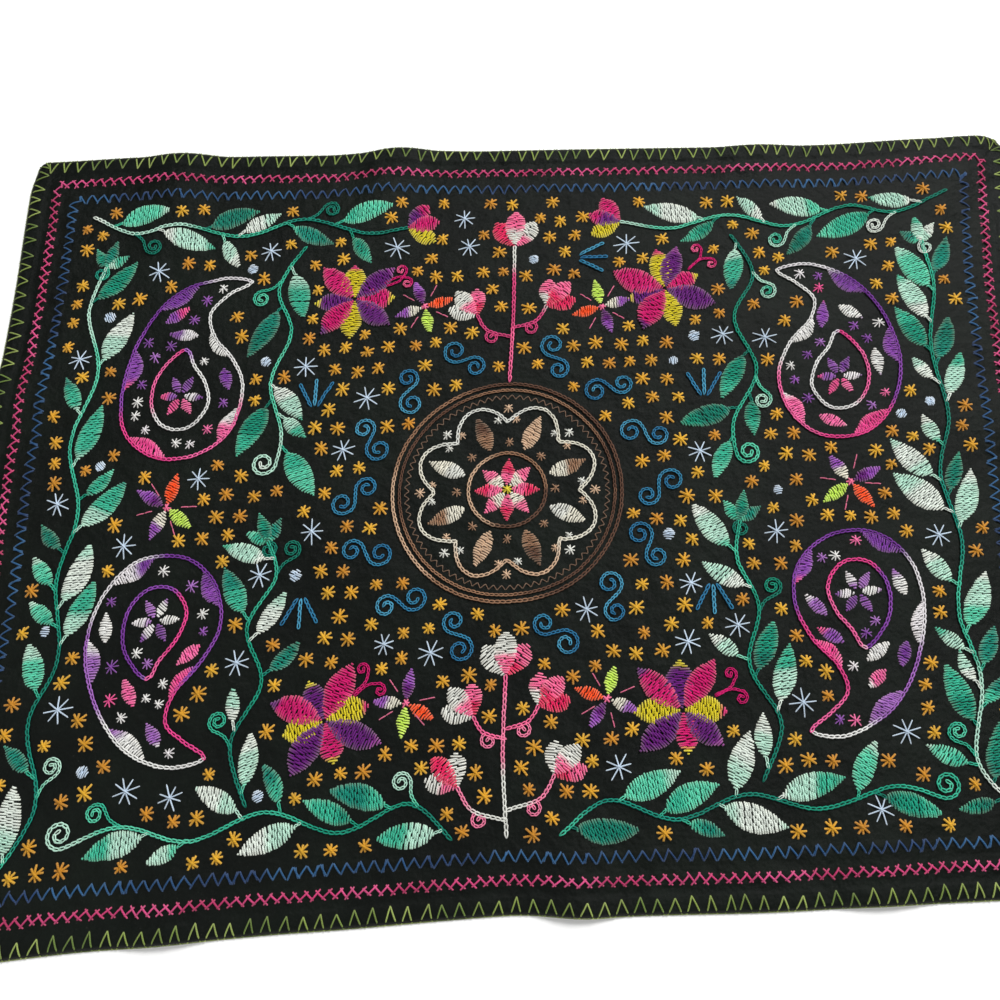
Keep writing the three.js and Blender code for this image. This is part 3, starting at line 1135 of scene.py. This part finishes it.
@cache
def stitch_tree(form):
    """The tree that lays a bar or a loop of yarn at each point, by the point's turn, reach and lift."""
    group = bpy.data.node_groups.new(f"{form}_stitch", "GeometryNodeTree")
    tree = Tree(group)
    for name, kind in {"Geometry": "Geometry", **TREE_INPUTS}.items():
        group.interface.new_socket(name, in_out="INPUT", socket_type=f"NodeSocket{kind}")
    group.interface.new_socket("Geometry", in_out="OUTPUT", socket_type="NodeSocketGeometry")
    tree.node("NodeGroupInput")
    given = {socket.name: Value(tree, socket) for socket in tree.last.outputs if socket.name}

    share = tree.node("GeometryNodeSplineParameter")
    core, radius = (bar_core if form == "bar" else loop_core)(tree, given["Steps"], share)
    section = {"Resolution": given["Sides"], "Radius": radius}
    profile = tree.node("GeometryNodeCurvePrimitiveCircle", (), section)
    around = tree.scaled(tree.node("GeometryNodeInputPosition"), 1 / radius)
    profile = tree.keep(profile, "around", around, "FLOAT_VECTOR")
    swept = {"Curve": core, "Profile Curve": profile, "Fill Caps": form == "bar"}
    laid_out = {
        "Points": given["Geometry"],
        "Instance": tree.node("GeometryNodeCurveToMesh", (), swept),
        "Rotation": tree.node("FunctionNodeEulerToRotation", (), {0: tree.held("turn", "FLOAT_VECTOR")}),
        "Scale": tree.held("reach", "FLOAT_VECTOR"),
    }
    stitches = tree.node("GeometryNodeInstanceOnPoints", (), laid_out)
    stitches = tree.node("GeometryNodeRealizeInstances", (), {"Geometry": stitches})

    along = tree.held("along")
    if form == "bar":
        stitches = arched(tree, stitches, along, given["Buried depth"])
        pale_end = tree.held("start") * (1 - along) ** 3 + tree.held("end") * along**3
        stitches = tree.keep(stitches, "pale_end", pale_end)
    around_x, around_y, _ = tree.parts(tree.held("around", "FLOAT_VECTOR"))
    lay = tree.vector(along * tree.held("run"), around_x, around_y)
    stitches = tree.keep(stitches, "yarn", lay, "FLOAT_VECTOR")
    stitches = tree.node("GeometryNodeSetShadeSmooth", (), {"Geometry": stitches})
    stitches = tree.node("GeometryNodeSetMaterial", (), {"Geometry": stitches, "Material": given["Yarn"]})
    tree.node("NodeGroupOutput", (), {"Geometry": stitches})
    return group


def placed(name, data):
    """An object in the scene, at the origin."""
    thing = bpy.data.objects.new(name, data)
    bpy.context.scene.collection.objects.link(thing)
    return thing


def mark(mesh, name, kind, *columns):
    """Has each point of a mesh hold a value under a name, or a few side by side."""
    field = {"FLOAT": "value", "FLOAT_VECTOR": "vector", "FLOAT_COLOR": "color"}[kind]
    values = np.ascontiguousarray(np.column_stack(columns), np.float32)
    mesh.attributes.new(name, kind, "POINT").data.foreach_set(field, values.ravel())


def worked(places, group, wanted):
    """The plain mesh that a tree makes of an object, which is then removed."""
    modifier = places.modifiers.new("stitching", "NODES")
    modifier.node_group = group
    for item in group.interface.items_tree:
        if item.in_out == "INPUT" and item.name in wanted:
            modifier[item.identifier] = wanted[item.name]
    graph = bpy.context.evaluated_depsgraph_get()
    found = places.evaluated_get(graph)
    made = bpy.data.meshes.new_from_object(found, preserve_all_data_layers=True, depsgraph=graph)
    mesh = places.data
    places.modifiers.remove(modifier)
    bpy.data.objects.remove(places)
    bpy.data.meshes.remove(mesh)
    return made


YARN_LIFT, LOWEST_YARN = 0.45, 0.05


def lay_down(made):
    """Brings stitches made on the flat cut down onto the cloth's face as it lies."""
    points = np.zeros(len(made.vertices) * 3, np.float32)
    made.vertices.foreach_get("co", points)
    points = points.reshape(-1, 3).astype(float)
    flat, up = points[:, :2], points[:, 2]
    height = np.maximum(face_height(flat) + up + YARN_LIFT, LOWEST_YARN)
    lying = np.column_stack([laid(flat), height]) * MM
    made.vertices.foreach_set("co", lying.astype(np.float32).ravel())


PIECES = {}


def sew(sewing, material):
    """Makes one piece of all the stitches in a Sewing and lays it on the cloth's face."""
    x, y, rise, heading, tip, length, width, height, lift, *colour, start, end = np.array(sewing.rows).T
    mesh = bpy.data.meshes.new(f"{sewing.name}_places")
    mesh.from_pydata(np.column_stack([x, y, rise]).tolist(), [], [])
    mark(mesh, "turn", "FLOAT_VECTOR", np.zeros(len(x)), tip, heading)
    reach = length if sewing.form == "bar" else length / LINK_LENGTH
    mark(mesh, "reach", "FLOAT_VECTOR", reach, width, height)
    for name, values in (("lift", lift), ("run", length), ("start", start), ("end", end)):
        mark(mesh, name, "FLOAT", values)
    mark(mesh, "tint", "FLOAT_COLOR", *np.clip(colour, 0, 1), np.ones(len(x)))
    wanted = {**FORM_SIZES[sewing.form], "Buried depth": BURIED_DEPTH, "Yarn": material}
    made = worked(placed(f"{sewing.name}_places", mesh), stitch_tree(sewing.form), wanted)
    lay_down(made)
    for spare in ("turn", "reach", "lift", "run", "start", "end", "along", "around"):
        if spare in made.attributes:
            made.attributes.remove(made.attributes[spare])
    made.update()
    made.name = sewing.name
    PIECES[sewing.name] = placed(sewing.name, made)


FIELD_SPACING = 7.0
# How far in from an edge the cloth has points: closer over the rim, the hem and the stitched rows.
BORDER_SECTIONS = [0, 0.7, 1.6, 3, 8, 14, 16, 18, 21, 24, 27, 30, 33, 36, 40, 44, 48, 51, 54, 58, 62]


def sections(span):
    """Where the cloth has points across one dimension."""
    border = np.array(BORDER_SECTIONS) - span / 2
    inner = border[-1]
    count = int(round(-2 * inner / FIELD_SPACING))
    field = np.linspace(inner, -inner, count + 1)[1:-1]
    return np.concatenate([border, field, -border[::-1]])


def shell_faces(index):
    """The faces of a sheet's face, its back and the wall round its rim, by the face's point numbers."""
    a, b, c, d = index[:-1, :-1], index[1:, :-1], index[1:, 1:], index[:-1, 1:]
    upper = np.stack([a, b, c, d], axis=-1).reshape(-1, 4)
    lower = np.stack([a, d, c, b], axis=-1).reshape(-1, 4) + index.size
    rim = np.concatenate([index[:-1, 0], index[-1, :-1], index[1:, -1][::-1], index[0, 1:][::-1]])
    following = np.roll(rim, -1)
    wall = np.stack([rim + index.size, following + index.size, following, rim], axis=-1)
    return np.vstack([upper, lower, wall])


def cloth(material):
    """The cotton itself, face and back, closed round the rolled rim."""
    xs, ys = sections(CUT_WIDTH), sections(CUT_LENGTH)
    grid = np.stack(np.meshgrid(xs, ys, indexing="ij"), axis=-1).reshape(-1, 2)
    inward = in_from_edge(grid)
    hem_step = np.exp(-(((inward - HEM_WIDTH - 1.5) / 2.2) ** 2)) * 0.7
    rolled = np.select([inward <= 0, inward < 1], [0.45, 0.12])
    top = np.column_stack([laid(grid), face_height(grid)])
    under = np.column_stack([laid(grid), back_height(grid) + hem_step + rolled])
    faces = shell_faces(np.arange(len(grid)).reshape(len(xs), len(ys)))
    mesh = bpy.data.meshes.new("cotton_cloth")
    mesh.from_pydata((np.vstack([top, under]) * MM).tolist(), [], faces.tolist())
    mesh.validate()
    uv = mesh.uv_layers.new(name="cut")
    corners = np.zeros(len(mesh.loops), np.int32)
    mesh.loops.foreach_get("vertex_index", corners)
    both = np.vstack([grid, grid + (0, 2 * CUT_LENGTH)]) * MM
    uv.data.foreach_set("uv", both[corners].astype(np.float32).ravel())
    mark(mesh, "wear", "FLOAT", np.tile(np.clip(1 - inward / 2.5, 0, 1), 2))
    mesh.polygons.foreach_set("use_smooth", np.ones(len(mesh.polygons), bool))
    mesh.materials.append(material)
    mesh.update()
    return placed("cotton_cloth", mesh)


def finish(name, **constants):
    """A new material, its tree, and the sockets of its surface, with the constants set."""
    material = bpy.data.materials.new(name)
    material.use_nodes = True
    surface = material.node_tree.nodes["Principled BSDF"]
    for socket, value in constants.items():
        surface.inputs[socket.replace("_", " ")].default_value = value
    return material, Tree(material.node_tree), surface.inputs


def yarn_finish(ply_gap=2.3):
    """Two-ply cotton yarn: its twist, loose fibres, and the dye taken from each stitch, with painted shade
    in the grooves of the twist.
    """
    constants = {"Sheen_Weight": 0.1, "Sheen_Roughness": 0.4, "Specular_IOR_Level": 0.16}
    material, tree, surface = finish("embroidery_yarn", **constants)
    along, c, s = tree.parts(tree.mark("yarn", 1))
    phase = along * (2 * math.pi / ply_gap)
    ply = (c * c - s * s) * tree.sum("COSINE", phase) - 2 * c * s * tree.sum("SINE", phase)
    here = tree.node("ShaderNodeTexCoord", out=3)
    fibre = tree.noise(here, 2400.0, 3.0, 0.6)
    patch = tree.noise(here, 90.0, 2.0)
    dye = tree.blend(tree.mark("pale_end", 2) * 0.17, tree.mark("tint", 0), opaque((222, 208, 180)))
    # depth is the dye's random tone over fibres and patches, plus painted shade: the ply term darkens the
    # grooves between the plies and lightens their crowns.
    depth = 0.9 + 0.14 * ply + (fibre - 0.5) * 0.4 + (patch - 0.5) * 0.3
    tree.join(tree.scaled(dye, depth), surface["Base Color"])
    tree.join(0.62 + (fibre - 0.5) * 0.4, surface["Roughness"])
    tree.join(tree.bump(0.6, 0.0004, ply * 0.5 + fibre * 0.9), surface["Normal"])
    return material


def cotton_finish(thread_gap=0.0007):
    """Plain woven black cotton, a little faded, with painted shade between its woven threads, lint caught in
    it and its rim rubbed lighter.
    """
    material, tree, surface = finish("black_cotton", Specular_IOR_Level=0.09)
    cut = tree.node("ShaderNodeUVMap", {"uv_map": "cut"})
    x, y, _ = tree.parts(cut)
    warp = tree.sum("SINE", x * (math.pi / thread_gap))
    weft = tree.sum("SINE", y * (math.pi / thread_gap))
    over = warp * weft > 0.0
    weave = tree.sum("ABSOLUTE", warp) * over + tree.sum("ABSOLUTE", weft) * (1 - over)
    slub = tree.noise(tree.vector(x * 60, y * 900, 0.0), 1.0, 2.0)
    cloud = tree.noise(cut, 7.0, 3.0, 0.55)
    rub = tree.noise(cut, 45.0, 2.0)
    lint = tree.spread(tree.noise(cut, 620.0, 1.0), 0.74, 0.8)
    base = tree.blend(tree.spread(cloud, 0.35, 0.7), opaque((8, 12, 9)), opaque((13, 19, 14)))
    base = tree.blend(tree.mark("wear", 2) * 0.5, base, opaque((66, 66, 62)))
    base = tree.blend(lint * 0.3, base, opaque((95, 95, 88)))
    # Painted shade: the weave term makes the base darker between the woven threads; rub and slub vary its
    # tone at random.
    base = tree.scaled(base, 0.8 + 0.2 * weave + (rub - 0.5) * 0.9 + (slub - 0.5) * 0.4)
    tree.join(base, surface["Base Color"])
    tree.join(0.48 - 0.04 * weave + (rub - 0.5) * 0.16, surface["Roughness"])
    fine = tree.bump(0.5, 0.0003, weave * 0.8 + slub * 0.5)
    tree.join(tree.bump(0.6, 0.004, tree.noise(cut, 75.0, 2.0, 0.6), Normal=fine), surface["Normal"])
    return material


def pale_floor(reach=4.0, level=-0.0004):
    """A plain floor just under the blanket."""
    mesh = bpy.data.meshes.new("floor")
    corners = [(x * reach, y * reach, level) for x, y in ((-1, -1), (1, -1), (1, 1), (-1, 1))]
    mesh.from_pydata(corners, [], [(0, 1, 2, 3)])
    floor = placed("floor", mesh)
    material, tree, surface = finish("pale_floor", Roughness=0.8, Specular_IOR_Level=0.2)
    cloud = tree.noise(tree.node("ShaderNodeTexCoord", out=3), 3.0)
    tree.join(tree.blend(cloud, (0.88, 0.88, 0.87, 1), (0.92, 0.92, 0.92, 1)), surface["Base Color"])
    mesh.materials.append(material)
    floor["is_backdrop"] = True


def soft_light():
    """An even sky, with a window and a weak fill."""
    world = bpy.data.worlds.new("soft_light")
    bpy.context.scene.world = world
    world.use_nodes = True
    sky = world.node_tree.nodes["Background"]
    sky.inputs["Color"].default_value = (1.0, 1.0, 1.0, 1)
    sky.inputs["Strength"].default_value = 0.3
    lamp_size = 2.2
    for name, place, power in (("window", (2.4, 2.6, 3.2), 290.0), ("fill", (-1.6, -1.5, 2.6), 38.0)):
        lamp = bpy.data.lights.new(name, "AREA")
        lamp.size, lamp.energy = lamp_size, power
        lamp_object = placed(name, lamp)
        lamp_object.location = place
        tilt = math.acos(place[2] / np.linalg.norm(place))
        lamp_object.rotation_euler = Euler((tilt, 0, heading_of(place) + math.pi / 2))
        lamp_object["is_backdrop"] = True


def photograph_camera():
    """The camera, in millimetres from the middle of the corners' frame, and its turn in degrees."""
    place, turn = np.array([2.49, -278.9, 941.66]), (16.04, 0.43, -1.418)
    camera = bpy.data.cameras.new("camera")
    camera.lens, camera.sensor_width = 34.56, 36.0
    holder = placed("camera", camera)
    holder.location = place * MM - np.array([*MIDDLE, 0]) * MM
    holder.rotation_mode = "ZYX"
    holder.rotation_euler = [math.radians(angle) for angle in turn]
    bpy.context.scene.camera = holder
    bpy.context.scene.view_settings.view_transform = "Standard"


embroider()
cotton = cloth(cotton_finish())
yarn = yarn_finish()
for sewing in (EDGE, PINK, BLUE, STARS, SMALL_STARS, PALE, LEAVES, BAND_FILLS, BLOOMS, ROSETTE_FILLS):
    sew(sewing, yarn)
for sewing in (VINES, BANDS, SCROLLS, ROSETTE):
    sew(sewing, yarn)
pale_floor()
soft_light()
photograph_camera()

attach(cotton, "root")
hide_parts("blanket_cloth")
for piece in PIECES.values():
    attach(piece, "root")

boxes = {"cad": cad_box, "visual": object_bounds()}
{name: [list(corner) for corner in box] for name, box in boxes.items()}
